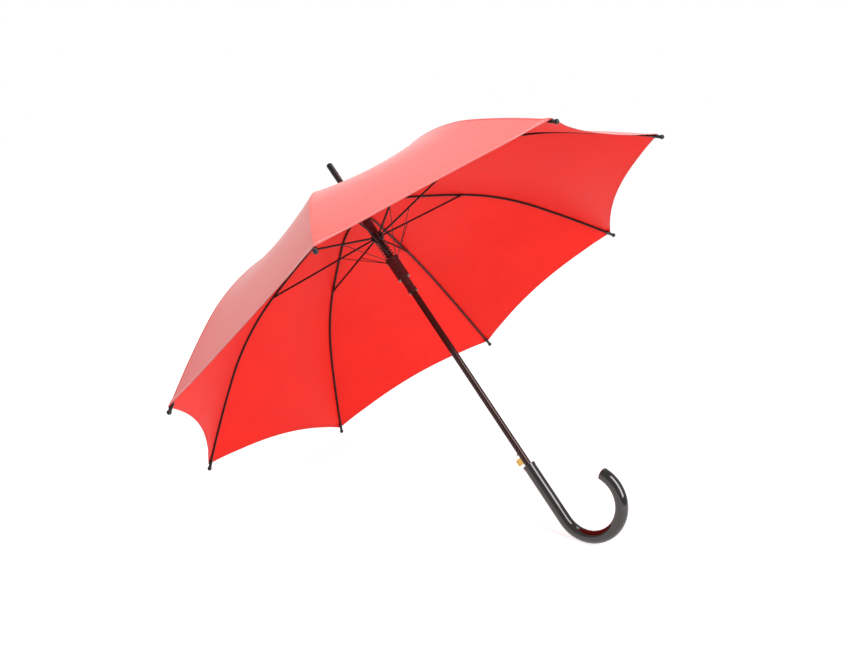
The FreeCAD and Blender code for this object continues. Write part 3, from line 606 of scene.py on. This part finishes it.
INNER_CLOTH, inner_area = canopy_piece("canopy_inner", 0.0, KNEE_RUN, False)
OUTER_CLOTH, outer_area = canopy_piece("canopy_outer", KNEE_RUN, HEM_RUN, True)
for number in range(1, RIBS + 1):
    fold = joints[f"rib_{number}_fold"]
    knee = joints[f"rib_{number}_flex"]
    for pattern, part, place, size, area, share in (
            (INNER_CLOTH, "inner", fold["pos_m"], (0.193, 0.238), inner_area, INNER_FOLDED_SHARE),
            (OUTER_CLOTH, "outer", knee["pos_m"], (0.415, 0.321), outer_area, OUTER_FOLDED_SHARE)):
        panel = laid(copied(pattern, f"canopy_{part}_{number}"), number)
        dressed(panel, MATERIALS["canopy_fabric"])
        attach(panel, f"rib_{part}_{number}")
        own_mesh(panel)
    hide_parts(f"gore_{number}")
for pattern in (INNER_CLOTH, OUTER_CLOTH):
    bpy.data.objects.remove(pattern)


# ---------------------------------------------------------------- opening spring
def wire_ring(name, radius, wire, height):
    bpy.ops.mesh.primitive_torus_add(major_radius=radius, minor_radius=wire, major_segments=72,
                                     minor_segments=12, location=(0, 0, height))
    return settled(made(name))


def coil_spring():
    """Open coil with a closed turn at each end."""
    low = along_shaft("runner_housing")[1] + SPRING_WIRE
    high = min(along_shaft("opening_spring")[1], along_shaft("crown_notch")[0]) - SPRING_WIRE
    bpy.ops.mesh.primitive_circle_add(vertices=14, radius=SPRING_WIRE, location=(SPRING_RADIUS, 0, low),
                                      rotation=(math.pi / 2, 0, 0), fill_type="NGON")
    coil = settled(made("coil"))
    finished(coil, kind="SCREW", axis="Z", angle=2 * math.pi * SPRING_TURNS, screw_offset=high - low,
             steps=int(SPRING_TURNS * 40), render_steps=int(SPRING_TURNS * 40), use_smooth_shade=True)
    ends = [wire_ring("end_turn", SPRING_RADIUS, SPRING_WIRE, z) for z in (low, high)]
    return laid(smooth_shaded(joined("coil_spring", [coil] + ends), 60.0)), low, high


spring, spring_low, spring_high = coil_spring()
dressed(spring, MATERIALS["spring_steel"])
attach(spring, "hub")
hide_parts("opening_spring")
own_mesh(spring)


# ---------------------------------------------------------------- tie wires, rivets and thread
def tie_wire(name, height, body):
    """Wire ring through the eyes, with its ends twisted together and bent flat."""
    ring = wire_ring("ring", PIVOT_RADIUS, TIE_WIRE, height)
    strands = []
    for turn in (0.0, math.pi):
        bpy.ops.mesh.primitive_circle_add(vertices=8, radius=0.4, location=(0.42, 0, 0),
                                          rotation=(math.pi / 2, 0, 0), fill_type="NGON")
        strand = settled(made("strand"))
        finished(strand, kind="SCREW", axis="Z", angle=4 * math.pi, screw_offset=5.5,
                 steps=40, render_steps=40)
        strand.data.transform(Matrix.Translation((PIVOT_RADIUS + 0.4, 0, height + 0.6))
                              @ Matrix.Rotation(math.radians(75), 4, "X") @ Matrix.Rotation(turn, 4, "Z"))
        strands.append(strand)
    wire = smooth_shaded(joined(name, [ring] + strands), 60.0)
    laid(wire)
    dressed(wire, MATERIALS["wire_steel"])
    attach(wire, body)


tie_wire("crown_tie_wire", 0.0, "shaft")
hub_height = in_rib_plane(joints["hub_slide"]["pos_m"], 1)[1]
tie_wire("hub_tie_wire", hub_height, "hub")


def rivet_pattern():
    """Both domed heads of the rivet through one knee."""
    heads = []
    for hand in (-1, 1):
        face = hand * (RIB_WIDTH / 2 + 0.3 + 0.7)
        bpy.ops.mesh.primitive_cylinder_add(vertices=24, radius=1.15, depth=0.7,
                                            location=(KNEE[0], face, KNEE[1]), rotation=(math.pi / 2, 0, 0))
        head = settled(made("head"))
        heads.append(finished(head, kind="BEVEL", width=0.32, segments=4, limit_method="ANGLE"))
    return smooth_shaded(joined("rivet_pattern", heads))


def thread_tie_pattern(name, run):
    """Thread wound round a rib and sewn to the cloth above it, with a small knot."""
    radius, height, slope = on_rib(run, 0.45)
    turns = []
    for index in range(4):
        bpy.ops.mesh.primitive_torus_add(major_radius=2.0, minor_radius=THREAD,
                                         major_segments=28, minor_segments=8)
        loop = settled(made("loop"))
        tilt = Matrix.Rotation(math.radians(90 + 7 * (index % 2 * 2 - 1)), 4, "Y")
        loop.data.transform(Matrix.Translation((0.5 * (index - 1.5), 0, 0)) @ tilt)
        turns.append(loop)
    bpy.ops.mesh.primitive_ico_sphere_add(subdivisions=3, radius=0.55, location=(0, 1.9, -0.9))
    knot = settled(made("knot"))
    finished(knot, kind="SMOOTH", factor=0.5, iterations=2)
    tie = joined(name, turns + [knot])
    tie.data.transform(Matrix.Translation((radius, 0, height)) @ Matrix.Rotation(-slope, 4, "Y"))
    return smooth_shaded(tie, 60.0)


rivets = rivet_pattern()
ties = {"inner": thread_tie_pattern("inner_tie_pattern", KNEE_RUN * 0.55),
        "outer": thread_tie_pattern("outer_tie_pattern", KNEE_RUN + (HEM_RUN - KNEE_RUN) * 0.42)}
for number in range(1, RIBS + 1):
    rivet = laid(copied(rivets, f"knee_rivet_{number}"), number)
    dressed(rivet, MATERIALS["black_steel"])
    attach(rivet, f"stretcher_{number}")
    for part, pattern in ties.items():
        tie = laid(copied(pattern, f"thread_tie_{part}_{number}"), number)
        dressed(tie, THREAD_MATERIAL)
        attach(tie, f"rib_{part}_{number}")
for pattern in [rivets] + list(ties.values()):
    bpy.data.objects.remove(pattern)

# ---------------------------------------------------------------- camera, floor and light
camera_data = bpy.data.cameras.new("camera")
camera_data.lens = 43.135
camera_data.sensor_width = 36.0
camera_data.clip_end = 100.0
camera = bpy.data.objects.new("camera", camera_data)
camera.location = (0.983, -1.513, 0.622)
camera.rotation_euler = (math.radians(79.914), math.radians(-4.23), math.radians(34.851))
bpy.context.collection.objects.link(camera)
bpy.context.scene.camera = camera

bpy.ops.mesh.primitive_plane_add(size=60.0)
floor = made("floor")
floor_material, floor_tree, floor_shader = begun("pale_floor")
floor_grain = placed(floor_tree, GRAIN, Vector=put(floor_tree, "TexCoord").outputs["Object"],
                     Fine=60.0, Broad=0.8, Balance=0.7)
floor_colour = mixed_colour(floor_tree, floor_grain.outputs["Mask"], (0.43, 0.43, 0.43), (0.45, 0.45, 0.45))
floor_tree.links.new(floor_colour, floor_shader.inputs["Base Color"])
floor_shader.inputs["Emission Color"].default_value = (1.0, 1.0, 1.0, 1.0)
floor_shader.inputs["Emission Strength"].default_value = 0.79
floor_shader.inputs["Roughness"].default_value = 0.7
floor_shader.inputs["Specular IOR Level"].default_value = 0.2
floor.data.materials.append(floor_material)


def softbox(name, place, aim, size, power, along=(1, 0, 0)):
    """A rectangular light at one place, facing another, its long side along a direction."""
    light = bpy.data.lights.new(name, "AREA")
    light.shape = "RECTANGLE"
    light.size, light.size_y = size
    light.energy = power
    back = (Vector(place) - Vector(aim)).normalized()
    up = back.cross(Vector(along)).normalized()
    obj = bpy.data.objects.new(name, light)
    obj.matrix_world = Matrix.Translation(place) @ Matrix((up.cross(back), up, back)).transposed().to_4x4()
    bpy.context.collection.objects.link(obj)
    return obj


softbox("overhead", (-0.5, 0.2, 2.6), (0.0, 0.0, 0.2), (2.2, 1.6), 31.0)
softbox("window", (1.77, -0.41, 1.45), (0.2, 0.0, 0.2), (1.9, 1.15), 54.0, along=shaft_up)

world = bpy.data.worlds.new("studio")
bpy.context.scene.world = world
world.use_nodes = True
sky = world.node_tree
background = sky.nodes["Background"]
background.inputs["Color"].default_value = (1.0, 1.0, 1.0, 1.0)
background.inputs["Strength"].default_value = 0.5
white = put(sky, "Background", None, Color=(1.0, 1.0, 1.0, 1.0), Strength=1.0)
seen = put(sky, "LightPath").outputs["Is Camera Ray"]
blend = put(sky, "MixShader", None, i0=seen, i1=background.outputs[0], i2=white.outputs[0])
sky.links.new(blend.outputs[0], sky.nodes["World Output"].inputs["Surface"])
bpy.context.scene.view_settings.view_transform = "Standard"

bpy.context.view_layer.update()
